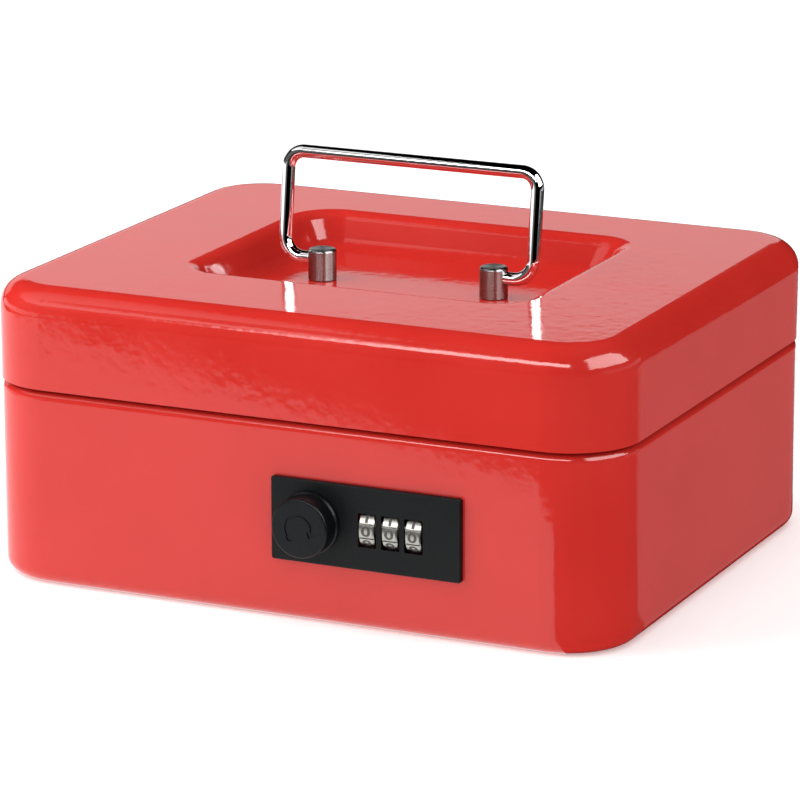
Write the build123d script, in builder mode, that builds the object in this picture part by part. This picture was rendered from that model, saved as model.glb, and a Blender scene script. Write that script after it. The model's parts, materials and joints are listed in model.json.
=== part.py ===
from build123d import *
import math
import os

# Steel cash box with a hinged lid, a folding wire handle, a three-wheel combination lock worked by
# a knob, and a lift-out coin tray.
# Millimetres. +X to the right, +Y to the back, +Z up. The origin is the bottom centre of the box.

os.makedirs("parts", exist_ok=True)

# ---------------------------------------------------------------- driving dimensions
width = 200.0
depth = 165.0
height = 88.5
corner_radius = 21.5
sheet = 0.8

# Body tub and the upstand that the lid closes over
lid_overhang = 0.25
seam_z = 59.0
shoulder_z = 58.3
shoulder_radius = 2.4
bottom_radius = 4.5
upstand_inset = 2.8
upstand_top = 66.0

# Lid and the recess that the handle folds into
lid_top_radius = 8.0
recess_width = 107.0
recess_depth = 88.0
recess_center_y = 4.0
recess_floor_z = 78.8
recess_slope_inset = 6.0
recess_corner = 11.0
recess_floor_corner = 7.0
recess_rim_radius = 5.0
recess_floor_radius = 5.0

# Handle
wire_radius = 2.0
handle_y = 1.0
handle_axis_z = 85.0
handle_reach = 31.8
handle_half_width = 40.5
handle_lean = 7.0
handle_foot_radius = 6.0
handle_top_radius = 5.0
post_x = 28.0
post_radius = 4.25
post_top_z = 88.3
post_bore_depth = 5.0
running_gap = 0.06

# Hinges
hinge_x = 62.0
hinge_width = 34.0
hinge_axis_y = 85.4
hinge_axis_z = seam_z
knuckle_radius = 2.4
hinge_pin_radius = 1.3
leaf_thickness = 1.0
leaf_height = 14.0
knuckle_gap = 0.3
rivet_spacing = 20.0
rivet_height = 10.0
rivet_shank = 1.2
rivet_head = 2.3
rivet_tail = 1.9

# Lock
lock_z = 30.5
plate_width = 58.9
plate_height = 24.4
plate_thickness = 1.75
plate_center_x = 26.15
knob_x = 9.1
knob_radius = 8.75
knob_projection = 7.5
collar_radius = 9.2
shaft_radius = 3.0
dial_z = lock_z - 0.4
dial_radius = 6.5
dial_width = 4.7
dial_pitch = 7.2
dial_first_x = 26.8
dial_axis_depth = 5.6
dial_figures = 10
window_width = 5.7
window_height = 9.9
spindle_radius = 1.25
lock_screw_radius = 1.1

# Fence: its fingers cross the gate discs as the knob turns a quarter turn
fence_travel = 1.4
cam_slot_start = 4.9
cam_disc_radius = 8.5
fence_pin_radius = 0.8
fence_half_height = 1.6

# Coin tray
tray_clearance = 0.95
tray_front_y = -56.0
tray_back_y = 77.4
tray_height = 24.0
tray_wall = 1.6
ledge_z = 37.0

# ---------------------------------------------------------------- derived places
front_y = -(depth / 2 - lid_overhang)
wall_in_y = front_y + sheet
back_y = depth / 2 - lid_overhang
lid_front_in_y = -(depth / 2 - sheet)
lid_back_y = depth / 2
plate_front_y = front_y - plate_thickness
dial_axis_y = plate_front_y + dial_axis_depth
dial_xs = [dial_first_x + i * dial_pitch for i in range(3)]
dial_gap = dial_pitch - dial_width
body_inside_x = width / 2 - lid_overhang - sheet
upstand_inside_x = width / 2 - lid_overhang - upstand_inset - sheet

# The lock's layers, from the front wall inwards
cam_disc_front_y = dial_axis_y + dial_radius + 0.5
cam_disc_thickness = 1.6
fence_front_y = cam_disc_front_y + cam_disc_thickness + 0.3
fence_thickness = 1.5
cover_front_y = fence_front_y + fence_thickness + 0.3
cover_thickness = 1.2
cover_back_y = cover_front_y + cover_thickness
tongue_front_y = cover_back_y + 1.9
tongue_thickness = 2.0
tongue_back_y = tongue_front_y + tongue_thickness

case_left_x = -1.0
case_right_x = 54.4
case_half_height = 11.6
case_wall = 1.2
lock_screw_xs = (2.2, 51.0)
lock_screw_dz = 8.9
lock_boss_radius = 2.2
lock_centers = [(x, lock_z + side * lock_screw_dz) for x in lock_screw_xs for side in (-1, 1)]

# Rivets: two a leaf
rivet_xs = [side * hinge_x + end * rivet_spacing / 2 for side in (-1, 1) for end in (-1, 1)]
body_rivet_z = seam_z - rivet_height
lid_rivet_z = seam_z + rivet_height + 1.0


def facing_front(y):
    """Plane at this y: local x is +X, local y is +Z, and a positive extrusion goes to the front."""
    return Plane.XZ.offset(-y)


def facing_back(y):
    """Plane at this y: a positive extrusion goes to the back. Local x is -X, local y is +Z."""
    return Plane((0, y, 0), x_dir=(-1, 0, 0), z_dir=(0, 1, 0))


def mirrored(centers):
    """The same (x, z) places for a sketch on a plane that faces the back."""
    return [(-x, z) for x, z in centers]


def knob_plane(y):
    """Plane at this y with its origin on the knob's axis, seen from the front."""
    return Plane((knob_x, y, lock_z), x_dir=(1, 0, 0), z_dir=(0, -1, 0))


def across(x):
    """Plane at this x: local x is +Y, local y is +Z, and a positive extrusion goes to the right."""
    return Plane.YZ.offset(x)


def save(piece, name):
    """Label the finished piece and write it to its own file."""
    piece.part.label = name
    export_step(piece.part, f"parts/{name}.step")


# ---------------------------------------------------------------- body shell
def tub_form(skin):
    """Solid shape of the tub and its upstand: skin 0 is the outside, skin = sheet the inside."""
    inset = lid_overhang + skin
    upstand = lid_overhang + upstand_inset + skin
    with BuildPart() as form:
        with BuildSketch(Plane.XY.offset(skin)):
            RectangleRounded(width - 2 * inset, depth - 2 * inset, corner_radius - inset)
        extrude(amount=shoulder_z - 2 * skin)
        fillet(form.edges().group_by(Axis.Z)[0], bottom_radius - skin)
        fillet(form.edges().group_by(Axis.Z)[-1], shoulder_radius - skin)
        with BuildSketch(Plane.XY.offset(seam_z / 2)):
            RectangleRounded(width - 2 * upstand, depth - 2 * upstand, corner_radius - upstand)
        extrude(amount=upstand_top - seam_z / 2 + 2 * skin)
    return form.part


tub_outside = tub_form(0)
tub_inside = tub_form(sheet)

dial_opening_left = dial_xs[0] - dial_width / 2 - 1.0
dial_opening_right = dial_xs[-1] + dial_width / 2 + dial_gap
dial_opening_x = (dial_opening_left + dial_opening_right) / 2
dial_opening_width = dial_opening_right - dial_opening_left
dial_opening_height = 2 * dial_radius + 1.0
shaft_boss_radius = 5.0
wall_cut = sheet + 2

with BuildPart() as body_shell:
    add(tub_outside)
    add(tub_inside, mode=Mode.SUBTRACT)
    with BuildSketch(facing_back(front_y - 1)):
        with Locations((-dial_opening_x, dial_z)):
            Rectangle(dial_opening_width, dial_opening_height)
        with Locations((-knob_x, lock_z)):
            Circle(shaft_boss_radius + 0.3)
        with Locations(mirrored(lock_centers)):
            Circle(lock_boss_radius + 0.2)
    extrude(amount=wall_cut, mode=Mode.SUBTRACT)
    with BuildSketch(facing_front(back_y + 1)):
        with Locations([(x, body_rivet_z) for x in rivet_xs]):
            Circle(rivet_shank)
    extrude(amount=wall_cut, mode=Mode.SUBTRACT)
save(body_shell, "body_shell")


# ---------------------------------------------------------------- lid shell
def lid_form(skin):
    """Solid shape of the lid with its handle recess: skin 0 is the outside, skin = sheet the inside."""
    slope = math.atan2(recess_slope_inset, height - recess_floor_z)
    growth = 2 * skin * math.tan(math.pi / 4 - slope / 2)
    floor_width = recess_width - 2 * recess_slope_inset
    floor_depth = recess_depth - 2 * recess_slope_inset
    start_z = seam_z - skin
    top_z = height - skin
    with BuildPart() as form:
        with BuildSketch(Plane.XY.offset(start_z)):
            RectangleRounded(width - 2 * skin, depth - 2 * skin, corner_radius - skin)
        extrude(amount=top_z - start_z)
        fillet(form.edges().group_by(Axis.Z)[-1], lid_top_radius - skin)
        with BuildSketch(Plane.XY.offset(top_z)):
            with Locations((0, recess_center_y)):
                RectangleRounded(recess_width + growth, recess_depth + growth, recess_corner)
        with BuildSketch(Plane.XY.offset(recess_floor_z - skin)):
            with Locations((0, recess_center_y)):
                RectangleRounded(floor_width + growth, floor_depth + growth, recess_floor_corner)
        loft(mode=Mode.SUBTRACT, ruled=True)
        rim = form.faces().filter_by(Axis.Z).sort_by(Axis.Z)[-1].inner_wires()[0]
        fillet(rim.edges(), recess_rim_radius - skin)
        floor = form.faces().filter_by(Axis.Z).sort_by(Axis.Z)[1].outer_wire()
        fillet(floor.edges(), recess_floor_radius + skin)
    return form.part


lid_outside = lid_form(0)
lid_inside = lid_form(sheet)
post_centers = [(-post_x, handle_y), (post_x, handle_y)]
post_screw_hole = wire_radius + 0.2

with BuildPart() as lid_shell:
    add(lid_outside)
    add(lid_inside, mode=Mode.SUBTRACT)
    with BuildSketch(Plane.XY.offset(recess_floor_z + 1)):
        with Locations(post_centers):
            Circle(post_screw_hole)
    extrude(amount=-wall_cut, mode=Mode.SUBTRACT)
    with BuildSketch(facing_front(lid_back_y + 1)):
        with Locations([(x, lid_rivet_z) for x in rivet_xs]):
            Circle(rivet_shank)
    extrude(amount=wall_cut, mode=Mode.SUBTRACT)
save(lid_shell, "lid_shell")

# ---------------------------------------------------------------- hinges
knuckle_width = (hinge_width - 2 * knuckle_gap) / 3
leaf_relief = knuckle_radius + 0.6
leaf_corner = 1.5
leaf_seam_gap = 0.4
pin_head_thickness = 0.6


def leaf_outline(center_x, plate_center_z, rivet_z):
    """Sketch of one leaf's plate and its two rivet holes, on a plane that faces the back."""
    with Locations((-center_x, plate_center_z)):
        RectangleRounded(hinge_width, leaf_height, leaf_corner)
    with Locations((-center_x, rivet_z)):
        with GridLocations(rivet_spacing, 0, 2, 1):
            Circle(rivet_shank, mode=Mode.SUBTRACT)


def knuckle_section(wall_y, up):
    """Section of a knuckle and the web that joins it to the leaf: up is 1 on the lid, -1 on the tub."""
    web_z = seam_z + up * (leaf_relief + 2)
    with Locations((hinge_axis_y, hinge_axis_z)):
        Circle(knuckle_radius)
    Polygon(
        (wall_y, seam_z + up * leaf_seam_gap),
        (wall_y, web_z),
        (wall_y + leaf_thickness, web_z),
        (hinge_axis_y + 0.6, hinge_axis_z + up * knuckle_radius * 0.97),
        (hinge_axis_y, hinge_axis_z + up * leaf_seam_gap),
        align=None,
    )


def body_leaf(center_x):
    """Leaf riveted to the back of the tub, with the two outer knuckles."""
    with BuildPart() as leaf:
        with BuildSketch(facing_back(back_y)):
            leaf_outline(center_x, seam_z - leaf_relief - leaf_height / 2, body_rivet_z)
        extrude(amount=leaf_thickness)
        for side in (-1, 1):
            with BuildSketch(across(center_x + side * (knuckle_width + knuckle_gap) - knuckle_width / 2)):
                knuckle_section(back_y, -1)
            extrude(amount=knuckle_width)
        with BuildSketch(across(center_x - hinge_width / 2 - 1)):
            with Locations((hinge_axis_y, hinge_axis_z)):
                Circle(hinge_pin_radius)
        extrude(amount=hinge_width + 2, mode=Mode.SUBTRACT)
    return leaf


def lid_leaf(center_x):
    """Leaf riveted to the back of the lid, with the middle knuckle."""
    with BuildPart() as leaf:
        with BuildSketch(facing_back(lid_back_y)):
            leaf_outline(center_x, seam_z + leaf_relief + leaf_height / 2, lid_rivet_z)
        extrude(amount=leaf_thickness)
        with BuildSketch(across(center_x - knuckle_width / 2)):
            knuckle_section(lid_back_y, 1)
        extrude(amount=knuckle_width)
        with BuildSketch(across(center_x - knuckle_width / 2 - 1)):
            with Locations((hinge_axis_y, hinge_axis_z)):
                Circle(hinge_pin_radius + running_gap)
        extrude(amount=knuckle_width + 2, mode=Mode.SUBTRACT)
    return leaf


def hinge_pin(center_x):
    """Pin through the three knuckles, peened to a small head at each end."""
    pin_left = center_x - hinge_width / 2
    with BuildPart() as pin:
        with BuildSketch(across(pin_left)):
            with Locations((hinge_axis_y, hinge_axis_z)):
                Circle(hinge_pin_radius)
        extrude(amount=hinge_width)
        for head_x in (pin_left - pin_head_thickness, pin_left + hinge_width):
            with BuildSketch(across(head_x)):
                with Locations((hinge_axis_y, hinge_axis_z)):
                    Circle(hinge_pin_radius + 0.5)
            extrude(amount=pin_head_thickness)
    return pin


for side_name, side in (("left", -1), ("right", 1)):
    save(body_leaf(side * hinge_x), f"hinge_leaf_body_{side_name}")
    save(lid_leaf(side * hinge_x), f"hinge_leaf_lid_{side_name}")
    save(hinge_pin(side * hinge_x), f"hinge_pin_{side_name}")


def hinge_rivets(wall_back_y, rivet_z):
    """Four rivets through both leaves and the sheet: a domed head outside, a formed head inside."""
    centers = [(x, rivet_z) for x in rivet_xs]
    outside_y = wall_back_y + leaf_thickness
    inside_y = wall_back_y - sheet
    with BuildPart() as rivets:
        with BuildSketch(facing_front(outside_y)):
            with Locations(centers):
                Circle(rivet_shank)
        extrude(amount=outside_y - inside_y)
        with BuildSketch(facing_front(inside_y)):
            with Locations(centers):
                Circle(rivet_tail)
        extrude(amount=0.7)
        with BuildSketch(facing_back(outside_y)):
            with Locations(mirrored(centers)):
                Circle(rivet_head)
        extrude(amount=1.0)
        domes = rivets.faces().filter_by(Axis.Y).group_by(Axis.Y)[-1]
        fillet(domes.edges(), 0.8)
    return rivets


save(hinge_rivets(back_y, body_rivet_z), "hinge_rivets_body")
save(hinge_rivets(lid_back_y, lid_rivet_z), "hinge_rivets_lid")

# ---------------------------------------------------------------- handle posts and their fixings
post_screw_depth = 3.7
washer_radius = 6.0
washer_thickness = 1.0
washer_bottom_z = recess_floor_z - sheet - washer_thickness
screw_head_radius = 3.6
screw_head_height = 2.2
cross_slot_length = 4.0
cross_slot_width = 0.9


def handle_post(side):
    """Turned post with a blind cross bore for the handle's end, open on its outer side."""
    with BuildPart() as post:
        with BuildSketch(Plane.XY.offset(recess_floor_z)):
            with Locations((side * post_x, handle_y)):
                Circle(post_radius)
        extrude(amount=post_top_z - recess_floor_z)
        fillet(post.edges().group_by(Axis.Z)[-1], 0.9)
        chamfer(post.edges().group_by(Axis.Z)[0], 0.3)
        bore_start = side * (post_x + post_radius - post_bore_depth)
        with BuildSketch(across(bore_start)):
            with Locations((handle_y, handle_axis_z)):
                Circle(wire_radius + running_gap)
        extrude(amount=side * (post_bore_depth + 1), mode=Mode.SUBTRACT)
        with BuildSketch(Plane.XY.offset(recess_floor_z)):
            with Locations((side * post_x, handle_y)):
                Circle(wire_radius)
        extrude(amount=post_screw_depth, mode=Mode.SUBTRACT)
    return post


save(handle_post(-1), "handle_post_left")
save(handle_post(1), "handle_post_right")

with BuildPart() as post_washers:
    with BuildSketch(Plane.XY.offset(washer_bottom_z)):
        with Locations(post_centers):
            Circle(washer_radius)
            Circle(post_screw_hole, mode=Mode.SUBTRACT)
    extrude(amount=washer_thickness)
save(post_washers, "post_washers")

with BuildPart() as post_screws:
    with BuildSketch(Plane.XY.offset(washer_bottom_z)):
        with Locations(post_centers):
            Circle(wire_radius)
    extrude(amount=recess_floor_z + post_screw_depth - washer_bottom_z)
    with BuildSketch(Plane.XY.offset(washer_bottom_z)):
        with Locations(post_centers):
            Circle(screw_head_radius)
    extrude(amount=-screw_head_height)
    fillet(post_screws.edges().group_by(Axis.Z)[0], 0.8)
    with BuildSketch(Plane.XY.offset(washer_bottom_z - screw_head_height)):
        with Locations(post_centers):
            Rectangle(cross_slot_length, cross_slot_width)
            Rectangle(cross_slot_width, cross_slot_length)
    extrude(amount=screw_head_height / 2, mode=Mode.SUBTRACT)
save(post_screws, "post_screws")

# ---------------------------------------------------------------- handle bail
lean = math.radians(handle_lean)
bail_plane = Plane(
    origin=(0, handle_y, handle_axis_z),
    x_dir=(1, 0, 0),
    z_dir=(0, -math.cos(lean), math.sin(lean)),
)
bail_end_x = post_x + post_radius - post_bore_depth + 0.4

with BuildPart() as handle_bail:
    with BuildLine(bail_plane) as bail_path:
        FilletPolyline(
            (-bail_end_x, 0),
            (-handle_half_width, 0),
            (-handle_half_width, handle_reach),
            (handle_half_width, handle_reach),
            (handle_half_width, 0),
            (bail_end_x, 0),
            radius=[handle_foot_radius, handle_top_radius, handle_top_radius, handle_foot_radius],
        )
    with BuildSketch(Plane(origin=(-bail_end_x, handle_y, handle_axis_z), z_dir=(-1, 0, 0))):
        Circle(wire_radius)
    sweep(path=bail_path.wire())
    ends = handle_bail.faces().filter_by(GeomType.PLANE)
    chamfer(ends.edges(), 0.4)
save(handle_bail, "handle_bail")

# ---------------------------------------------------------------- lock plate
window_skin = 0.6
plate_corner = 0.7
shaft_boss_length = 4.0
lock_boss_length = 6.0

with BuildPart() as lock_plate:
    with BuildSketch(facing_front(front_y)):
        with Locations((plate_center_x, lock_z)):
            RectangleRounded(plate_width, plate_height, plate_corner)
    extrude(amount=plate_thickness)
    fillet(lock_plate.edges().group_by(Axis.Y)[0], 0.4)
    with BuildSketch(facing_back(front_y)):
        with Locations((-knob_x, lock_z)):
            Circle(shaft_boss_radius)
    extrude(amount=shaft_boss_length)
    with BuildSketch(facing_back(front_y)):
        with Locations(mirrored(lock_centers)):
            Circle(lock_boss_radius)
    extrude(amount=lock_boss_length)
    with BuildSketch(facing_front(front_y)):
        with Locations((dial_opening_x, dial_z)):
            Rectangle(dial_opening_width, dial_opening_height)
    extrude(amount=plate_thickness - window_skin, mode=Mode.SUBTRACT)
    with BuildSketch(facing_front(front_y)):
        with Locations([(x, dial_z) for x in dial_xs]):
            RectangleRounded(window_width, window_height, 0.4)
    extrude(amount=plate_thickness + 1, mode=Mode.SUBTRACT)
    with BuildSketch(facing_back(plate_front_y - 1)):
        with Locations((-knob_x, lock_z)):
            Circle(shaft_radius + running_gap)
    extrude(amount=plate_thickness + shaft_boss_length + 2, mode=Mode.SUBTRACT)
    with BuildSketch(facing_back(front_y + 1)):
        with Locations(mirrored(lock_centers)):
            Circle(lock_screw_radius)
    extrude(amount=lock_boss_length, mode=Mode.SUBTRACT)
save(lock_plate, "lock_plate")

# ---------------------------------------------------------------- lock case, behind the front wall
case_center_x = (case_left_x + case_right_x) / 2
case_width = case_right_x - case_left_x
case_depth = cover_front_y - wall_in_y
case_corner = 1.0
boss_end_y = front_y + lock_boss_length
spindle_rib_xs = (dial_xs[0] - dial_width / 2 - 2.05, dial_xs[-1] + dial_width / 2 + 2.55)
spindle_rib_width = 1.5
spindle_rib_back_y = cam_disc_front_y - 0.2
screw_clearance = 0.1
case_overrun = case_depth + 2

with BuildPart() as lock_case:
    with BuildSketch(facing_back(wall_in_y)):
        with Locations((-case_center_x, lock_z)):
            RectangleRounded(case_width, 2 * case_half_height, case_corner)
            Rectangle(case_width - 2 * case_wall, 2 * (case_half_height - case_wall), mode=Mode.SUBTRACT)
    extrude(amount=case_depth)
    for rib_x in spindle_rib_xs:
        with BuildSketch(across(rib_x)):
            with Locations(((wall_in_y + spindle_rib_back_y) / 2, lock_z)):
                Rectangle(spindle_rib_back_y - wall_in_y, 2 * case_half_height - case_wall)
        extrude(amount=spindle_rib_width)
    with BuildSketch(facing_back(boss_end_y + 0.2)):
        with Locations(mirrored(lock_centers)):
            Circle(lock_boss_radius + 0.2)
    extrude(amount=cover_front_y - boss_end_y - 0.2)
    with BuildSketch(facing_back(wall_in_y - 1)):
        with Locations(mirrored(lock_centers)):
            Circle(lock_screw_radius + screw_clearance)
    extrude(amount=case_overrun, mode=Mode.SUBTRACT)
    with BuildSketch(facing_back(wall_in_y - 1)):
        with Locations(mirrored(lock_centers)):
            Circle(lock_boss_radius + screw_clearance)
    extrude(amount=boss_end_y - wall_in_y + 1.1, mode=Mode.SUBTRACT)
    with BuildSketch(across(spindle_rib_xs[0] - 1)):
        with Locations((dial_axis_y, dial_z)):
            Circle(spindle_radius)
    extrude(amount=spindle_rib_xs[1] - spindle_rib_xs[0] + 4, mode=Mode.SUBTRACT)
save(lock_case, "lock_case")

# ---------------------------------------------------------------- lock cover with the fence's channel
channel_left_x = 20.0
channel_right_x = 49.0
channel_width = channel_right_x - channel_left_x
channel_center_x = (channel_left_x + channel_right_x) / 2
channel_rib = 1.2
channel_rib_depth = 2.0
channel_rib_offset = fence_half_height + 0.15 + channel_rib / 2

with BuildPart() as lock_cover:
    with BuildSketch(facing_back(cover_front_y)):
        with Locations((-case_center_x, lock_z)):
            RectangleRounded(case_width, 2 * case_half_height, case_corner)
        with Locations((-knob_x, lock_z)):
            Circle(shaft_radius + running_gap, mode=Mode.SUBTRACT)
        with Locations(mirrored(lock_centers)):
            Circle(lock_screw_radius + screw_clearance, mode=Mode.SUBTRACT)
    extrude(amount=cover_thickness)
    with BuildSketch(facing_front(cover_front_y)):
        with Locations([(channel_center_x, lock_z + side * channel_rib_offset) for side in (-1, 1)]):
            Rectangle(channel_width, channel_rib)
    extrude(amount=channel_rib_depth)
save(lock_cover, "lock_cover")

lock_screw_head = 2.1
lock_screw_head_height = 1.2
lock_screw_slot = 0.6
lock_screw_tip_y = front_y + 1.5

with BuildPart() as lock_screws:
    with BuildSketch(facing_back(cover_back_y)):
        with Locations(mirrored(lock_centers)):
            Circle(lock_screw_head)
    extrude(amount=lock_screw_head_height)
    fillet(lock_screws.edges().group_by(Axis.Y)[-1], 0.5)
    with BuildSketch(facing_front(cover_back_y + lock_screw_head_height)):
        with Locations(lock_centers):
            Rectangle(4 * lock_screw_slot, lock_screw_slot)
            Rectangle(lock_screw_slot, 4 * lock_screw_slot)
    extrude(amount=lock_screw_slot, mode=Mode.SUBTRACT)
    with BuildSketch(facing_front(cover_back_y)):
        with Locations(lock_centers):
            Circle(lock_screw_radius)
    extrude(amount=cover_back_y - lock_screw_tip_y)
save(lock_screws, "lock_screws")

# ---------------------------------------------------------------- dials on their spindle
with BuildPart() as dial_spindle:
    with BuildSketch(across(spindle_rib_xs[0])):
        with Locations((dial_axis_y, dial_z)):
            Circle(spindle_radius)
    extrude(amount=spindle_rib_xs[1] + spindle_rib_width - spindle_rib_xs[0])
    chamfer(dial_spindle.edges().group_by(Axis.X)[0], 0.3)
    chamfer(dial_spindle.edges().group_by(Axis.X)[-1], 0.3)
save(dial_spindle, "dial_spindle")

gate_disc_start = 0.8
gate_disc_thickness = 0.5
gate_disc_radius = 3.1
gate_floor_radius = 2.05
gate_half_width = 1.35
sleeve_radius = 2.0
groove_width = 0.5
groove_depth = 0.4
dial_chamfer = 0.3


def dial(center_x):
    """Number wheel with a groove between its figures, and a sleeve and notched gate disc on its right."""
    left_x = center_x - dial_width / 2
    right_x = center_x + dial_width / 2
    with BuildPart() as wheel:
        with BuildSketch(across(left_x)):
            with Locations((dial_axis_y, dial_z)):
                Circle(dial_radius)
        extrude(amount=dial_width)
        chamfer(wheel.edges().group_by(Axis.X)[0], dial_chamfer)
        chamfer(wheel.edges().group_by(Axis.X)[-1], dial_chamfer)
        with BuildSketch(across(left_x - 1)):
            with Locations((dial_axis_y, dial_z)):
                with PolarLocations(dial_radius, dial_figures, start_angle=180 / dial_figures):
                    Rectangle(2 * groove_depth, groove_width)
        extrude(amount=dial_width + 2, mode=Mode.SUBTRACT)
        with BuildSketch(across(right_x)):
            with Locations((dial_axis_y, dial_z)):
                Circle(sleeve_radius)
        extrude(amount=dial_gap - 0.1)
        with BuildSketch(across(right_x + gate_disc_start)):
            with Locations((dial_axis_y, dial_z)):
                Circle(gate_disc_radius)
            with Locations((dial_axis_y + gate_floor_radius + gate_disc_radius, dial_z)):
                Rectangle(2 * gate_disc_radius, 2 * gate_half_width, mode=Mode.SUBTRACT)
        extrude(amount=gate_disc_thickness)
        with BuildSketch(across(left_x - 1)):
            with Locations((dial_axis_y, dial_z)):
                Circle(spindle_radius + running_gap)
        extrude(amount=dial_pitch + 2, mode=Mode.SUBTRACT)
    return wheel


for number, dial_x in enumerate(dial_xs, start=1):
    save(dial(dial_x), f"dial_{number}")

# Leaf spring under the dials: one finger a dial, its tip just clear of the dial
spring_thickness = 0.3
spring_floor_z = lock_z - case_half_height + case_wall + spring_thickness / 2
spring_tip_z = dial_z - dial_radius - 0.5
spring_finger_width = 4.0
spring_bar_depth = 4.0
spring_back_y = cam_disc_front_y + 0.1

with BuildPart() as detent_spring:
    for dial_x in dial_xs:
        with BuildSketch(across(dial_x - spring_finger_width / 2)):
            with BuildLine():
                Polyline(
                    (spring_back_y, spring_floor_z),
                    (spring_back_y - spring_bar_depth - 1, spring_floor_z),
                    (dial_axis_y + 0.1, spring_tip_z),
                    (dial_axis_y - 0.9, spring_tip_z - 0.6),
                )
            trace(line_width=spring_thickness)
        extrude(amount=spring_finger_width)
    with BuildSketch(across(dial_xs[0] - spring_finger_width / 2)):
        with Locations((spring_back_y - spring_bar_depth / 2, spring_floor_z)):
            Rectangle(spring_bar_depth, spring_thickness)
    extrude(amount=dial_xs[-1] - dial_xs[0] + spring_finger_width)
save(detent_spring, "detent_spring")

# ---------------------------------------------------------------- knob, shaft, cam disc and tongue
knob_back_y = plate_front_y - 0.3
knob_front_y = plate_front_y - knob_projection
knob_bore_end_y = knob_front_y + 2.5
collar_back_y = knob_back_y - 1.0

# Turn arrow sunk in the knob's face: a dot, three quarters of a ring, and an arrowhead
arrow_depth = 0.35
arrow_ring_radius = 4.0
arrow_line_width = 0.9
arrow_dot_radius = 1.1
arrow_start_angle = 225.0
arrow_end_angle = -12.0
arrow_tip_angle = -40.0
arrow_head_half_width = 1.5


def around_knob(radius, angle):
    """Point at this radius and angle, in degrees, on the knob's face."""
    return (radius * math.cos(math.radians(angle)), radius * math.sin(math.radians(angle)))


with BuildPart() as knob:
    with BuildSketch(Plane.XY.offset(lock_z)):
        with BuildLine():
            Polyline(
                (knob_x, knob_back_y),
                (knob_x + collar_radius, knob_back_y),
                (knob_x + collar_radius, collar_back_y),
                (knob_x + knob_radius, collar_back_y - 0.5),
                (knob_x + knob_radius, knob_front_y),
                (knob_x, knob_front_y),
                close=True,
            )
        make_face()
    revolve(axis=Axis((knob_x, 0, lock_z), (0, 1, 0)))
    fillet(knob.edges().group_by(Axis.Y)[0], 0.7)
    with BuildSketch(knob_plane(knob_front_y)):
        with BuildLine():
            CenterArc((0, 0), arrow_ring_radius, arrow_end_angle, arrow_start_angle - arrow_end_angle)
        trace(line_width=arrow_line_width)
        with Locations(around_knob(arrow_ring_radius, arrow_start_angle)):
            Circle(arrow_dot_radius)
        Polygon(
            around_knob(arrow_ring_radius - arrow_head_half_width, arrow_end_angle),
            around_knob(arrow_ring_radius + arrow_head_half_width, arrow_end_angle),
            around_knob(arrow_ring_radius, arrow_tip_angle),
            align=None,
        )
    extrude(amount=-arrow_depth, mode=Mode.SUBTRACT)
    with BuildSketch(knob_plane(knob_back_y)):
        Circle(shaft_radius)
    extrude(amount=knob_back_y - knob_bore_end_y, mode=Mode.SUBTRACT)
save(knob, "knob")

square_side = 4.4
thread_radius = 2.0
nut_thickness = 3.2
nut_half_flats = 3.5

with BuildPart() as knob_shaft:
    with BuildSketch(knob_plane(tongue_front_y)):
        Circle(shaft_radius)
    extrude(amount=tongue_front_y - knob_bore_end_y)
    with BuildSketch(knob_plane(tongue_back_y)):
        Rectangle(square_side, square_side)
    extrude(amount=tongue_thickness)
    with BuildSketch(knob_plane(tongue_back_y)):
        Circle(thread_radius)
    extrude(amount=-nut_thickness - 0.6)
    chamfer(knob_shaft.edges().group_by(Axis.Y)[-1], 0.4)
save(knob_shaft, "knob_shaft")

# The slot is one quarter of an Archimedean spiral, so the fence's travel follows the knob's angle
slot_steps = 8
slot_radius = fence_pin_radius + 0.15
cam_hub_radius = shaft_radius + 1.6
cam_hub_length = 2.4


def slot_point(step):
    """Point of the slot's centre line after this share of the quarter turn."""
    return around_knob(cam_slot_start + fence_travel * step / slot_steps, 90.0 * step / slot_steps)


with BuildPart() as cam_disc:
    with BuildSketch(knob_plane(cam_disc_front_y + cam_disc_thickness)):
        Circle(cam_disc_radius)
    extrude(amount=cam_disc_thickness)
    with BuildSketch(knob_plane(cam_disc_front_y)):
        Circle(cam_hub_radius)
    extrude(amount=cam_hub_length)
    with BuildSketch(knob_plane(cam_disc_front_y + cam_disc_thickness)):
        with BuildLine():
            Spline(*[slot_point(step) for step in range(slot_steps + 1)])
        trace(line_width=2 * slot_radius)
        with Locations(slot_point(0), slot_point(slot_steps)):
            Circle(slot_radius)
    extrude(amount=cam_disc_thickness, mode=Mode.SUBTRACT)
    with BuildSketch(knob_plane(cam_disc_front_y + cam_disc_thickness)):
        Circle(shaft_radius)
    extrude(amount=cam_disc_thickness + cam_hub_length, mode=Mode.SUBTRACT)
save(cam_disc, "cam_disc")

# The tongue points left when the lock is open; its hooked nose leads as it swings up to lock
tongue_reach = 23.5
nose_inner_radius = 20.0
nose_angle = 32.0
nose_heel_angle = 8.5
tongue_half_width = 3.5
tongue_eye_radius = 5.5

with BuildPart() as tongue:
    with BuildSketch(knob_plane(tongue_back_y)):
        Circle(tongue_eye_radius)
        with Locations((-nose_inner_radius / 2, 0)):
            Rectangle(nose_inner_radius, 2 * tongue_half_width)
        with BuildLine():
            nose_start = 180 - nose_angle
            nose_sweep = nose_angle + nose_heel_angle
            outer_nose = CenterArc((0, 0), tongue_reach, nose_start, nose_sweep)
            inner_nose = CenterArc((0, 0), nose_inner_radius - 1.0, nose_start, nose_sweep)
            Line(outer_nose @ 0, inner_nose @ 0)
            Line(outer_nose @ 1, inner_nose @ 1)
        make_face()
        Rectangle(square_side, square_side, mode=Mode.SUBTRACT)
    extrude(amount=tongue_thickness)
save(tongue, "tongue")

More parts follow.
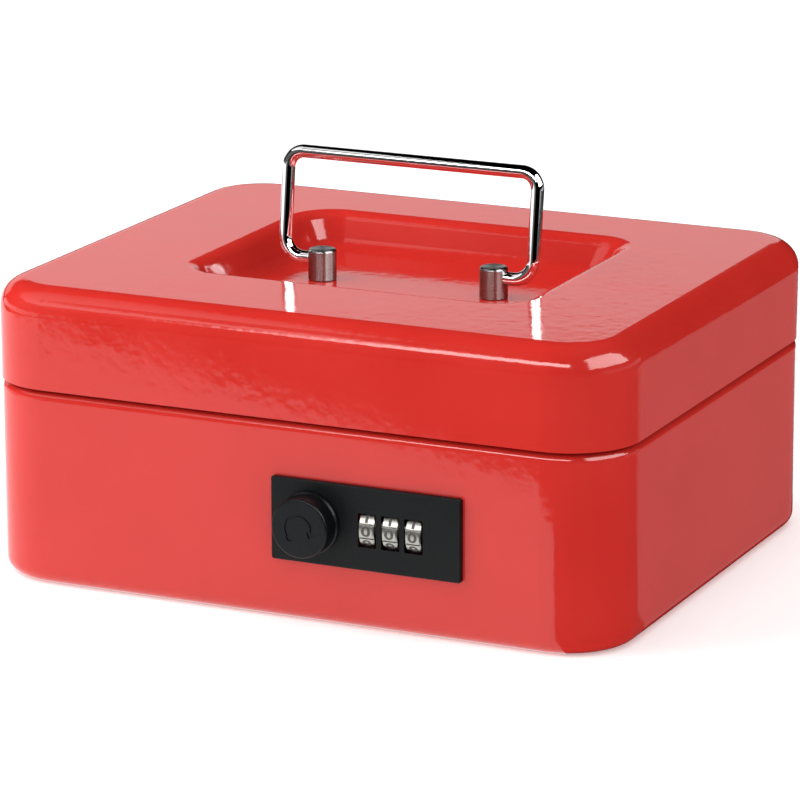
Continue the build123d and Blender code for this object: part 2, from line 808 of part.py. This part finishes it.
with BuildPart() as tongue_nut:
    with BuildSketch(knob_plane(tongue_back_y)):
        RegularPolygon(nut_half_flats, 6, major_radius=False)
        Circle(thread_radius, mode=Mode.SUBTRACT)
    extrude(amount=-nut_thickness)
save(tongue_nut, "tongue_nut")

# ---------------------------------------------------------------- fence
finger_tip_y = dial_axis_y + gate_floor_radius + 0.3
finger_thickness = 0.5
finger_half_height = 1.0
finger_center_xs = [x + dial_width / 2 + 0.1 + finger_thickness / 2 for x in dial_xs]
fence_pin_x = knob_x + cam_slot_start
fence_left_x = fence_pin_x - fence_half_height
fence_right_x = finger_center_xs[-1] + 2.0

with BuildPart() as fence_bar:
    with BuildSketch(facing_front(fence_front_y + fence_thickness)):
        with Locations(((fence_left_x + fence_right_x) / 2, lock_z)):
            Rectangle(fence_right_x - fence_left_x, 2 * fence_half_height)
    extrude(amount=fence_thickness)
    with BuildSketch(facing_front(fence_front_y)):
        with Locations([(x, dial_z) for x in finger_center_xs]):
            Rectangle(finger_thickness, 2 * finger_half_height)
    extrude(amount=fence_front_y - finger_tip_y)
    with BuildSketch(facing_front(fence_front_y)):
        with Locations((fence_pin_x, lock_z)):
            Circle(fence_pin_radius)
    extrude(amount=cam_disc_thickness)
save(fence_bar, "fence_bar")

# ---------------------------------------------------------------- strike on the lid
strike_thickness = 1.2
strike_shelf_z = upstand_top + 0.9
strike_tab_x = knob_x + 5.9
strike_back_y = tongue_back_y + 4.8
strike_bottom_z = lock_z + 13.5
strike_flange_width = 34.0
strike_flange_height = 10.6
strike_shelf_width = 12.0
nose_mid_y = (tongue_front_y + tongue_back_y) / 2
strike_tab_depth = 2 * (strike_back_y - nose_mid_y)
strike_window_rise = 20.7
strike_window_height = 6.4
strike_window_depth = tongue_thickness + 2.6

with BuildPart() as strike:
    with BuildSketch(facing_back(lid_front_in_y)):
        with Locations((-strike_tab_x, strike_shelf_z + strike_flange_height / 2)):
            Rectangle(strike_flange_width, strike_flange_height)
    extrude(amount=strike_thickness)
    with BuildSketch(Plane.XY.offset(strike_shelf_z)):
        shelf_center_x = strike_tab_x + strike_thickness - strike_shelf_width / 2
        with Locations((shelf_center_x, (lid_front_in_y + strike_back_y) / 2)):
            Rectangle(strike_shelf_width, strike_back_y - lid_front_in_y)
    extrude(amount=strike_thickness)
    with BuildSketch(across(strike_tab_x)):
        with Locations((nose_mid_y, (strike_shelf_z + strike_bottom_z) / 2)):
            Rectangle(strike_tab_depth, strike_shelf_z - strike_bottom_z)
        with Locations((nose_mid_y, lock_z + strike_window_rise)):
            RectangleRounded(strike_window_depth, strike_window_height, 0.5, mode=Mode.SUBTRACT)
    extrude(amount=strike_thickness)
save(strike, "strike")

# ---------------------------------------------------------------- coin tray and its ledges
ledge_thickness = 1.0
ledge_flange = 12.0
ledge_shelf = 10.0
ledge_front_y = -45.0
ledge_length = 105.0


def tray_ledge(side):
    """Angle welded to the side wall, which carries one edge of the coin tray."""
    wall_x = -side * body_inside_x
    shelf_x = wall_x + side * ledge_shelf
    with BuildPart() as ledge:
        with BuildSketch(facing_back(ledge_front_y)):
            with BuildLine():
                Polyline(
                    (wall_x, ledge_z - ledge_flange),
                    (wall_x, ledge_z),
                    (shelf_x, ledge_z),
                    (shelf_x, ledge_z - ledge_thickness),
                    (wall_x + side * ledge_thickness, ledge_z - ledge_thickness),
                    (wall_x + side * ledge_thickness, ledge_z - ledge_flange),
                    close=True,
                )
            make_face()
        extrude(amount=ledge_length)
    return ledge


save(tray_ledge(-1), "tray_ledge_left")
save(tray_ledge(1), "tray_ledge_right")

tray_width = 2 * (upstand_inside_x - tray_clearance)
tray_depth = tray_back_y - tray_front_y
tray_center_y = (tray_front_y + tray_back_y) / 2
tray_floor_z = ledge_z + tray_wall
tray_corner = corner_radius - 5
pocket_depth = (tray_depth - 3 * tray_wall) / 2
pocket_row_offset = (pocket_depth + tray_wall) / 2
tray_rows = ((3, tray_center_y - pocket_row_offset), (2, tray_center_y + pocket_row_offset))

with BuildPart() as coin_tray:
    with BuildSketch(Plane.XY.offset(ledge_z)):
        with Locations((0, tray_center_y)):
            RectangleRounded(tray_width, tray_depth, tray_corner)
    extrude(amount=tray_height)
    fillet(coin_tray.edges().group_by(Axis.Z)[0], 3.0)
    for pocket_count, row_y in tray_rows:
        pocket_width = (tray_width - (pocket_count + 1) * tray_wall) / pocket_count
        with BuildSketch(Plane.XY.offset(tray_floor_z)):
            with Locations((0, row_y)):
                with GridLocations(pocket_width + tray_wall, 0, pocket_count, 1):
                    RectangleRounded(pocket_width, pocket_depth, tray_corner - tray_wall)
        extrude(amount=tray_height, mode=Mode.SUBTRACT)
    pocket_floors = coin_tray.edges().filter_by_position(Axis.Z, tray_floor_z - 0.01, tray_floor_z + 0.01)
    fillet(pocket_floors, 6.0)
save(coin_tray, "coin_tray")
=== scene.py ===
import json
import math

import bmesh
import bpy
from mathutils import Matrix, Vector


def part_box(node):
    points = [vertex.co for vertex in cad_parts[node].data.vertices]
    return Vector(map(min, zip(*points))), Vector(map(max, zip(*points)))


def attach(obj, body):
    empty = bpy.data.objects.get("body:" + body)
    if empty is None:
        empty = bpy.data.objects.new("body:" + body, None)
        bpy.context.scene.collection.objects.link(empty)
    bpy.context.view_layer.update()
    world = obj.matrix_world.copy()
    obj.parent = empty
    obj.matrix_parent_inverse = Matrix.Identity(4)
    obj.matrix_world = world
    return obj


# Materials, number figures, studio and camera for the cash box. Metres, in the CAD frame:
# +X to the right, +Y to the back, +Z up, origin at the bottom centre of the box.

MM = 0.001

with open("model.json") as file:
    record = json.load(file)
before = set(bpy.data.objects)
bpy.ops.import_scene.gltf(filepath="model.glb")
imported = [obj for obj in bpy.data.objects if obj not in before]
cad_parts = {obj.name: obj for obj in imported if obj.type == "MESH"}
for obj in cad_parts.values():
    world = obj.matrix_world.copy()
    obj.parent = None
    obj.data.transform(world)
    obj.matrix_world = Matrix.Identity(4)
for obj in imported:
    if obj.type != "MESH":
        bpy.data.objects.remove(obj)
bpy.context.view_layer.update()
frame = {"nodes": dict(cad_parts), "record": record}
lid_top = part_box("lid_shell")[1].z
nodes = frame["nodes"]
joints = {joint["name"]: joint for joint in frame["record"]["behaviour"]["joints"]}


# ---------------------------------------------------------------- material helpers
def new_tree(name):
    """Empty node material: returns the material, its node tree and its surface socket."""
    material = bpy.data.materials.new(name)
    material.use_nodes = True
    tree = material.node_tree
    tree.nodes.clear()
    output = tree.nodes.new("ShaderNodeOutputMaterial")
    return material, tree, output.inputs["Surface"]


def new_material(name):
    """Material with one Principled shader: returns the material, its node tree and the shader."""
    material, tree, surface = new_tree(name)
    shader = tree.nodes.new("ShaderNodeBsdfPrincipled")
    tree.links.new(shader.outputs["BSDF"], surface)
    return material, tree, shader


def object_coordinates(tree, stretch=(1, 1, 1)):
    """The piece's own coordinates, in metres, optionally stretched along an axis."""
    coordinates = tree.nodes.new("ShaderNodeTexCoord")
    mapping = tree.nodes.new("ShaderNodeMapping")
    mapping.inputs["Scale"].default_value = stretch
    tree.links.new(coordinates.outputs["Object"], mapping.inputs["Vector"])
    return mapping.outputs["Vector"]


def noise(tree, vector, size, detail=2.0, roughness=0.5):
    """Noise whose features are about this size."""
    texture = tree.nodes.new("ShaderNodeTexNoise")
    texture.inputs["Scale"].default_value = 1 / size
    texture.inputs["Detail"].default_value = detail
    texture.inputs["Roughness"].default_value = roughness
    tree.links.new(vector, texture.inputs["Vector"])
    return texture.outputs["Fac"]


def spread(tree, value, low, high, out_low, out_high):
    """Maps a value from one range to another, clamped."""
    node = tree.nodes.new("ShaderNodeMapRange")
    node.inputs["From Min"].default_value = low
    node.inputs["From Max"].default_value = high
    node.inputs["To Min"].default_value = out_low
    node.inputs["To Max"].default_value = out_high
    tree.links.new(value, node.inputs["Value"])
    return node.outputs["Result"]


def bump(tree, height, distance, strength, normal=None):
    """Bump of this height; can follow another bump."""
    node = tree.nodes.new("ShaderNodeBump")
    node.inputs["Strength"].default_value = strength
    node.inputs["Distance"].default_value = distance
    tree.links.new(height, node.inputs["Height"])
    if normal is not None:
        tree.links.new(normal, node.inputs["Normal"])
    return node.outputs["Normal"]


def tint(tree, factor, color_a, color_b):
    """Blend of two colours."""
    node = tree.nodes.new("ShaderNodeMix")
    node.data_type = "RGBA"
    node.inputs["A"].default_value = (*color_a, 1)
    node.inputs["B"].default_value = (*color_b, 1)
    tree.links.new(factor, node.inputs["Factor"])
    return node.outputs["Result"]


def dress(tree, shader, color, roughness, normal):
    """Connects the three inputs that vary over a surface."""
    tree.links.new(color, shader.inputs["Base Color"])
    tree.links.new(roughness, shader.inputs["Roughness"])
    tree.links.new(normal, shader.inputs["Normal"])


# ---------------------------------------------------------------- materials
def red_paint():
    """Glossy powder coat: a slight orange peel, and a tone that drifts with its thickness."""
    material, tree, shader = new_material("red_powder_coat")
    place = object_coordinates(tree)
    cloud = noise(tree, place, 30 * MM, 3.0)
    peel = noise(tree, place, 3.0 * MM, 1.5, 0.4)
    grain = noise(tree, place, 0.9 * MM, 1.0)
    shade = spread(tree, cloud, 0.35, 0.65, 0.0, 1.0)
    color = tint(tree, shade, (0.575, 0.0245, 0.0180), (0.605, 0.0270, 0.0200))
    roughness = spread(tree, cloud, 0.3, 0.7, 0.07, 0.12)
    peel_normal = bump(tree, peel, 0.06 * MM, 0.8)
    dress(tree, shader, color, roughness, bump(tree, grain, 0.006 * MM, 0.8, peel_normal))
    shader.inputs["IOR"].default_value = 1.5
    return material


def chrome():
    """Polished chrome plate, a little hazy and rippled."""
    material, tree, shader = new_material("chrome_plate")
    place = object_coordinates(tree)
    haze = noise(tree, place, 6 * MM, 3.0)
    ripple = noise(tree, place, 2.2 * MM, 2.0)
    color = tint(tree, haze, (0.80, 0.80, 0.81), (0.90, 0.90, 0.90))
    roughness = spread(tree, haze, 0.3, 0.7, 0.035, 0.075)
    dress(tree, shader, color, roughness, bump(tree, ripple, 0.02 * MM, 0.6))
    shader.inputs["Metallic"].default_value = 1.0
    return material


def turned_nickel():
    """Nickel-plated turned post: fine rings round the axis draw the highlights out along it."""
    material, tree, shader = new_material("turned_nickel")
    haze = noise(tree, object_coordinates(tree), 4 * MM, 2.0)
    rings = noise(tree, object_coordinates(tree, (0.05, 0.05, 1.0)), 0.18 * MM, 2.0)
    color = tint(tree, haze, (0.25, 0.245, 0.24), (0.34, 0.335, 0.33))
    roughness = spread(tree, rings, 0.2, 0.8, 0.26, 0.32)
    dress(tree, shader, color, roughness, bump(tree, rings, 0.008 * MM, 0.15))
    around = tree.nodes.new("ShaderNodeTangent")
    around.direction_type = "RADIAL"
    around.axis = "Z"
    tree.links.new(around.outputs["Tangent"], shader.inputs["Tangent"])
    shader.inputs["Anisotropic"].default_value = 0.9
    shader.inputs["Anisotropic Rotation"].default_value = 0.25
    shader.inputs["Metallic"].default_value = 1.0
    return material


def plated_metal(name, dark, light, smooth, rough):
    """Plated or bare metal: a cloudy tone and fine rolling marks along X."""
    material, tree, shader = new_material(name)
    cloud = noise(tree, object_coordinates(tree), 5 * MM, 4.0, 0.6)
    marks = noise(tree, object_coordinates(tree, (0.06, 1.0, 1.0)), 0.25 * MM, 2.0)
    roughness = spread(tree, marks, 0.25, 0.75, smooth, rough)
    dress(tree, shader, tint(tree, cloud, dark, light), roughness, bump(tree, marks, 0.01 * MM, 0.7))
    shader.inputs["Metallic"].default_value = 1.0
    return material


def moulded_plastic(name, dark, light, grain_size, grain_height, smooth, rough, gloss=0.5):
    """Moulded plastic with an even grain pressed in by the tool."""
    material, tree, shader = new_material(name)
    place = object_coordinates(tree)
    grain = noise(tree, place, grain_size, 2.0, 0.6)
    cloud = noise(tree, place, 10 * MM, 2.0)
    roughness = spread(tree, grain, 0.3, 0.7, smooth, rough)
    dress(tree, shader, tint(tree, cloud, dark, light), roughness, bump(tree, grain, grain_height, 0.9))
    shader.inputs["Specular IOR Level"].default_value = gloss
    return material


def figure_fill():
    """Dark paint wiped into the dials' figures."""
    material, tree, shader = new_material("figure_fill")
    wear = noise(tree, object_coordinates(tree), 0.6 * MM, 3.0, 0.7)
    worn = spread(tree, wear, 0.35, 0.75, 0, 1)
    color = tint(tree, worn, (0.035, 0.034, 0.032), (0.12, 0.115, 0.105))
    tree.links.new(color, shader.inputs["Base Color"])
    shader.inputs["Roughness"].default_value = 0.6
    return material


materials = {
    "red_paint": red_paint(),
    "chrome_wire": chrome(),
    "nickel_posts": turned_nickel(),
    "hinge_steel": plated_metal("hinge_zinc", (0.55, 0.55, 0.56), (0.70, 0.70, 0.71), 0.24, 0.42),
    "fastener_steel": plated_metal("fastener_zinc", (0.50, 0.50, 0.51), (0.66, 0.66, 0.67), 0.20, 0.36),
    "lock_steel": plated_metal("lock_steel", (0.42, 0.42, 0.43), (0.58, 0.58, 0.59), 0.28, 0.45),
    "spring_steel": plated_metal("spring_steel", (0.22, 0.24, 0.30), (0.36, 0.37, 0.42), 0.22, 0.36),
    "lock_brass": plated_metal("lock_brass", (0.62, 0.44, 0.17), (0.78, 0.58, 0.26), 0.22, 0.38),
    "dial_metal": plated_metal("dial_nickel", (0.38, 0.37, 0.34), (0.48, 0.47, 0.43), 0.24, 0.36),
    "plate_plastic": moulded_plastic(
        "plate_black",
        dark=(0.0030, 0.0038, 0.0045),
        light=(0.0055, 0.0065, 0.0075),
        grain_size=0.45 * MM,
        grain_height=0.08 * MM,
        smooth=0.36,
        rough=0.50,
        gloss=0.20,
    ),
    "knob_plastic": moulded_plastic(
        "knob_black",
        dark=(0.0030, 0.0038, 0.0048),
        light=(0.0050, 0.0060, 0.0075),
        grain_size=0.35 * MM,
        grain_height=0.02 * MM,
        smooth=0.26,
        rough=0.38,
        gloss=0.20,
    ),
    "case_plastic": moulded_plastic(
        "case_black",
        dark=(0.016, 0.016, 0.018),
        light=(0.022, 0.022, 0.024),
        grain_size=0.6 * MM,
        grain_height=0.04 * MM,
        smooth=0.42,
        rough=0.58,
    ),
    "tray_plastic": moulded_plastic(
        "tray_black",
        dark=(0.018, 0.018, 0.020),
        light=(0.028, 0.028, 0.030),
        grain_size=0.9 * MM,
        grain_height=0.06 * MM,
        smooth=0.40,
        rough=0.56,
    ),
}

for subpart in frame["record"]["subparts"]:
    cad_node = nodes[subpart["node"]]
    cad_node.data.materials.clear()
    cad_node.data.materials.append(materials[subpart["material_slot"]])
    for polygon in cad_node.data.polygons:
        polygon.material_index = 0


# ---------------------------------------------------------------- figures on the dials
FIGURES = 10
FIGURE_HEIGHT = 3.0 * MM
FIGURE_THICKNESS = 0.03 * MM
FIGURE_WIDENING = 1.45
FIGURE_BOLDNESS = 0.026
FIGURE_STRIPS = 8
figure_material = figure_fill()


def text_mesh(text):
    """The text as a solid one unit thick, about one unit high, in a bmesh."""
    curve = bpy.data.curves.new("figure", "FONT")
    curve.body = text
    curve.align_x = "CENTER"
    curve.extrude = 0.5
    curve.offset = FIGURE_BOLDNESS
    curve.resolution_u = 4
    source = bpy.data.objects.new("figure", curve)
    flat = bpy.data.meshes.new_from_object(source)
    solid = bmesh.new()
    solid.from_mesh(flat)
    bpy.data.objects.remove(source)
    bpy.data.curves.remove(curve)
    bpy.data.meshes.remove(flat)
    bmesh.ops.remove_doubles(solid, verts=solid.verts, dist=1e-5)
    return solid


def figure_mesh(text):
    """One figure standing in its own XY plane, centred, cut into strips so that it can be bent."""
    figure = text_mesh(text)
    across = [vertex.co.x for vertex in figure.verts]
    upward = [vertex.co.y for vertex in figure.verts]
    middle_x = (min(across) + max(across)) / 2
    middle_y = (min(upward) + max(upward)) / 2
    scale = FIGURE_HEIGHT / (max(upward) - min(upward))
    for vertex in figure.verts:
        vertex.co.x = (vertex.co.x - middle_x) * scale * FIGURE_WIDENING
        vertex.co.y = (vertex.co.y - middle_y) * scale
        vertex.co.z *= FIGURE_THICKNESS
    for strip in range(1, FIGURE_STRIPS):
        cut = (strip / FIGURE_STRIPS - 0.5) * FIGURE_HEIGHT
        everything = figure.verts[:] + figure.edges[:] + figure.faces[:]
        bmesh.ops.bisect_plane(figure, geom=everything, plane_co=(0, cut, 0), plane_no=(0, 1, 0))
    return figure


def dial_figures(number):
    """The ten figures of one dial, each bent round the wheel between two grooves, as one mesh."""
    joint = joints[f"dial_{number}_turn"]
    low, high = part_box(f"dial_{number}")
    center = Vector(joint["pos_m"])
    radius = (high.z - low.z) / 2
    wheel = bmesh.new()
    for value in range(FIGURES):
        figure = figure_mesh(str(value))
        for vertex in figure.verts:
            angle = 2 * math.pi * value / FIGURES + vertex.co.y / radius
            reach = radius + vertex.co.z
            offset = Vector((vertex.co.x, -reach * math.cos(angle), reach * math.sin(angle)))
            vertex.co = center + offset
        bent = bpy.data.meshes.new("figure")
        figure.to_mesh(bent)
        figure.free()
        wheel.from_mesh(bent)
        bpy.data.meshes.remove(bent)
    bmesh.ops.recalc_face_normals(wheel, faces=wheel.faces)
    figures = bpy.data.meshes.new(f"dial_{number}_figures")
    wheel.to_mesh(figures)
    wheel.free()
    figures.materials.append(figure_material)
    piece = bpy.data.objects.new(f"dial_{number}_figures", figures)
    bpy.context.scene.collection.objects.link(piece)
    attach(piece, joint["child"])


for dial_number in (1, 2, 3):
    dial_figures(dial_number)


# ---------------------------------------------------------------- studio directions
# Azimuths are degrees from -Y towards +X, elevations degrees above the horizon.
VIEW_AZIMUTH = 25.0
VIEW_ELEVATION = 15.12
VIEW_ROLL = -0.115
VIEW_DISTANCE = 1.3419
VIEW_TARGET = Vector((-0.0020, 0.0, 0.0444))
LENS = 201.9
SENSOR_WIDTH = 36.0


def direction(azimuth, elevation):
    """Unit vector towards this azimuth and elevation."""
    a, e = math.radians(azimuth), math.radians(elevation)
    return Vector((math.sin(a) * math.cos(e), -math.cos(a) * math.cos(e), math.sin(e)))


toward_camera = direction(VIEW_AZIMUTH, 0)
camera_right = direction(VIEW_AZIMUTH + 90, 0)


def ground(right, forward):
    """Point on the ground, this far to the camera's right and towards it."""
    point = camera_right * right + toward_camera * forward
    return Vector((point.x, point.y, 0))


# ---------------------------------------------------------------- floor, room, lights, camera
FLOOR_RADIUS = 3.0
FLOOR_SIDES = 48
FLOOR_GLOW = 0.29
ROOM_GREY = 0.71
LIGHT_SIZE = 0.7
LIGHT_TARGET = Vector((0, 0, 0.05))


def sheet_object(name, corners, material):
    """Flat panel through these corners."""
    mesh = bpy.data.meshes.new(name)
    mesh.from_pydata([tuple(corner) for corner in corners], [], [tuple(range(len(corners)))])
    mesh.materials.append(material)
    panel = bpy.data.objects.new(name, mesh)
    bpy.context.scene.collection.objects.link(panel)
    return panel


def floor():
    """Pale paper on the ground, with a faint glow of its own so that shadows stay light."""
    material, tree, shader = new_material("floor_paper")
    paper = noise(tree, object_coordinates(tree), 80 * MM, 3.0)
    color = tint(tree, paper, (0.88, 0.88, 0.88), (0.90, 0.90, 0.90))
    tree.links.new(color, shader.inputs["Base Color"])
    shader.inputs["Roughness"].default_value = 0.9
    shader.inputs["Emission Color"].default_value = (1, 1, 1, 1)
    shader.inputs["Emission Strength"].default_value = FLOOR_GLOW
    rim = [2 * math.pi * side / FLOOR_SIDES for side in range(FLOOR_SIDES)]
    corners = [(FLOOR_RADIUS * math.cos(a), FLOOR_RADIUS * math.sin(a), 0) for a in rim]
    sheet_object("floor", corners, material).visible_glossy = False


def studio_world():
    """Even pale room, kept out of the reflections."""
    world = bpy.data.worlds.new("studio")
    bpy.context.scene.world = world
    world.use_nodes = True
    background = world.node_tree.nodes["Background"]
    background.inputs["Color"].default_value = (ROOM_GREY, ROOM_GREY, ROOM_GREY, 1)
    world.cycles_visibility.glossy = False


def soft_light(name, azimuth, elevation, distance, power):
    """Square soft light aimed at the box; it leaves the reflections to the panels."""
    light = bpy.data.lights.new(name, "AREA")
    light.shape = "SQUARE"
    light.size = LIGHT_SIZE
    light.energy = power
    lamp = bpy.data.objects.new(name, light)
    lamp.location = LIGHT_TARGET + direction(azimuth, elevation) * distance
    lamp.rotation_mode = "QUATERNION"
    lamp.rotation_quaternion = (LIGHT_TARGET - lamp.location).to_track_quat("-Z", "Y")
    lamp.visible_glossy = False
    bpy.context.scene.collection.objects.link(lamp)


def camera():
    """Long lens from the front right, looking down at the box by about 15 degrees."""
    back = direction(VIEW_AZIMUTH, VIEW_ELEVATION)
    data = bpy.data.cameras.new("camera")
    data.lens = LENS
    data.sensor_width = SENSOR_WIDTH
    data.clip_start = 0.05
    data.clip_end = 20.0
    viewer = bpy.data.objects.new("camera", data)
    viewer.location = VIEW_TARGET + back * VIEW_DISTANCE
    viewer.rotation_mode = "QUATERNION"
    level = (-back).to_track_quat("-Z", "Y").to_matrix()
    roll = Matrix.Rotation(math.radians(VIEW_ROLL), 3, "Z")
    viewer.rotation_quaternion = (level @ roll).to_quaternion()
    bpy.context.scene.collection.objects.link(viewer)
    bpy.context.scene.camera = viewer


floor()
studio_world()
camera()
soft_light("key", azimuth=-65, elevation=36, distance=0.72, power=4.3)
soft_light("top", azimuth=90, elevation=80, distance=1.25, power=3.3)


# ---------------------------------------------------------------- panels seen in reflections
def reflector(name, corners, radiance, fade=None):
    """Panel that shows only as a reflection in the glossy surfaces.

    With fade = (axis, start, end, end_radiance) it ramps from one radiance to the other.
    """
    material, tree, surface = new_tree(name)
    glow = tree.nodes.new("ShaderNodeEmission")
    glow.inputs["Strength"].default_value = radiance
    if fade is not None:
        axis, start, end, end_radiance = fade
        split = tree.nodes.new("ShaderNodeSeparateXYZ")
        tree.links.new(object_coordinates(tree), split.inputs["Vector"])
        ramp = spread(tree, split.outputs[axis], start, end, radiance, end_radiance)
        tree.links.new(ramp, glow.inputs["Strength"])
    tree.links.new(glow.outputs["Emission"], surface)
    panel = sheet_object(name, corners, material)
    panel.visible_camera = False
    panel.visible_diffuse = False
    panel.visible_shadow = False
    panel.visible_transmission = False
    panel.visible_volume_scatter = False


def standing_corners(azimuths, elevations, distance):
    """Corners of an upright panel that fills these ranges of directions, seen from the lid."""
    middle = sum(azimuths) / 2
    half = distance * math.tan(math.radians((azimuths[1] - azimuths[0]) / 2))
    low, high = (lid_top + distance * math.tan(math.radians(angle)) for angle in elevations)
    corners = []
    for side, rise in ((-1, low), (1, low), (1, high), (-1, high)):
        point = direction(middle, 0) * distance + direction(middle + 90, 0) * half * side
        corners.append(Vector((point.x, point.y, rise)))
    return corners


# Papers on the ground. The white one in front and on the left ends in a straight edge before
# the camera; a dimmer one lies on the right, and the ground between them and the camera is dark.
PAPER_EDGE = 0.223
PAPER_LEFT = -0.44
PAPER_BACK = -1.6
GROUND_FAR = 1.2
front_corner_x = 0.085
front_corner_right = (front_corner_x - PAPER_EDGE * toward_camera.x) / camera_right.x
edge_left = ground(PAPER_LEFT, PAPER_EDGE)
edge_right = ground(front_corner_right, PAPER_EDGE)
box_corner = Vector((front_corner_x, -0.080, 0))
side_near = Vector((0.10, -0.050, 0))
side_far = Vector((0.38, 0.36, 0))

reflector(
    "paper_left",
    [
        edge_left,
        edge_right,
        box_corner,
        Vector((0.10, 0.30, 0)),
        ground(0.10, PAPER_BACK),
        ground(PAPER_LEFT - 0.6, PAPER_BACK),
        ground(PAPER_LEFT, -0.2),
    ],
    radiance=1.30,
)
reflector(
    "paper_right",
    [side_near, side_far, Vector((0.38, 0.42, 0)), Vector((0.10, 0.42, 0))],
    radiance=0.29,
)
reflector(
    "floor_front",
    [
        edge_left,
        edge_right,
        box_corner,
        side_near,
        side_far,
        Vector((GROUND_FAR, side_far.y, 0)),
        ground(GROUND_FAR, GROUND_FAR),
        ground(PAPER_LEFT, GROUND_FAR),
    ],
    radiance=0.07,
)

# Pale wall behind, faint wall in front, low pale walls at the sides, a bright box on the right
reflector("backdrop", standing_corners((190, 250), (3, 17.2), 1.3), radiance=0.75)
reflector("front_wall", standing_corners((-75, -5), (-2, 30), 1.6), radiance=0.12)
reflector("low_wall_left", standing_corners((-110, -30), (-6, 3), 1.1), radiance=1.3)
reflector("low_wall_right", standing_corners((70, 145), (-6, 3), 1.1), radiance=0.45)
reflector("side_box", standing_corners((52, 119), (14.5, 56), 1.2), radiance=7.0)

# Softbox overhead on the left, brighter towards the front, with a dim gap in its right edge
SOFTBOX_RISE = 1.0
SOFTBOX_LEFT = -1.70
SOFTBOX_RIGHT = -0.47
SOFTBOX_FRONT = -1.42
SOFTBOX_BACK = 0.15
gap_left, gap_front, gap_back = -0.74, -1.02, -0.60
gap_front_right = (-0.58, gap_front)
gap_sides = [(gap_left, gap_front), (gap_left, gap_back)]
softbox_outline = [
    (SOFTBOX_RIGHT, gap_back),
    (SOFTBOX_RIGHT, -0.20),
    (-0.58, SOFTBOX_BACK),
    (SOFTBOX_LEFT, SOFTBOX_BACK),
    (SOFTBOX_LEFT, SOFTBOX_FRONT),
    (-0.62, SOFTBOX_FRONT),
    gap_front_right,
    *gap_sides,
]
gap_outline = [(SOFTBOX_RIGHT, gap_back), *reversed(gap_sides), gap_front_right]


def overhead_corners(outline):
    """Corners of a level panel above the lid."""
    return [Vector((x, y, lid_top + SOFTBOX_RISE)) for x, y in outline]


softbox_fade = ("Y", SOFTBOX_FRONT, SOFTBOX_BACK, 0.3)
reflector("softbox", overhead_corners(softbox_outline), radiance=2.3, fade=softbox_fade)
reflector("softbox_gap", overhead_corners(gap_outline), radiance=0.15)

# Long strip in front, fading out to the left
strip_fade = ("X", -0.62, -0.50, 11.0)
reflector("strip", standing_corners((-30, 27), (25, 37), 1.1), radiance=1.2, fade=strip_fade)

scene = bpy.context.scene
scene.view_settings.view_transform = "Standard"
scene.view_settings.look = "None"
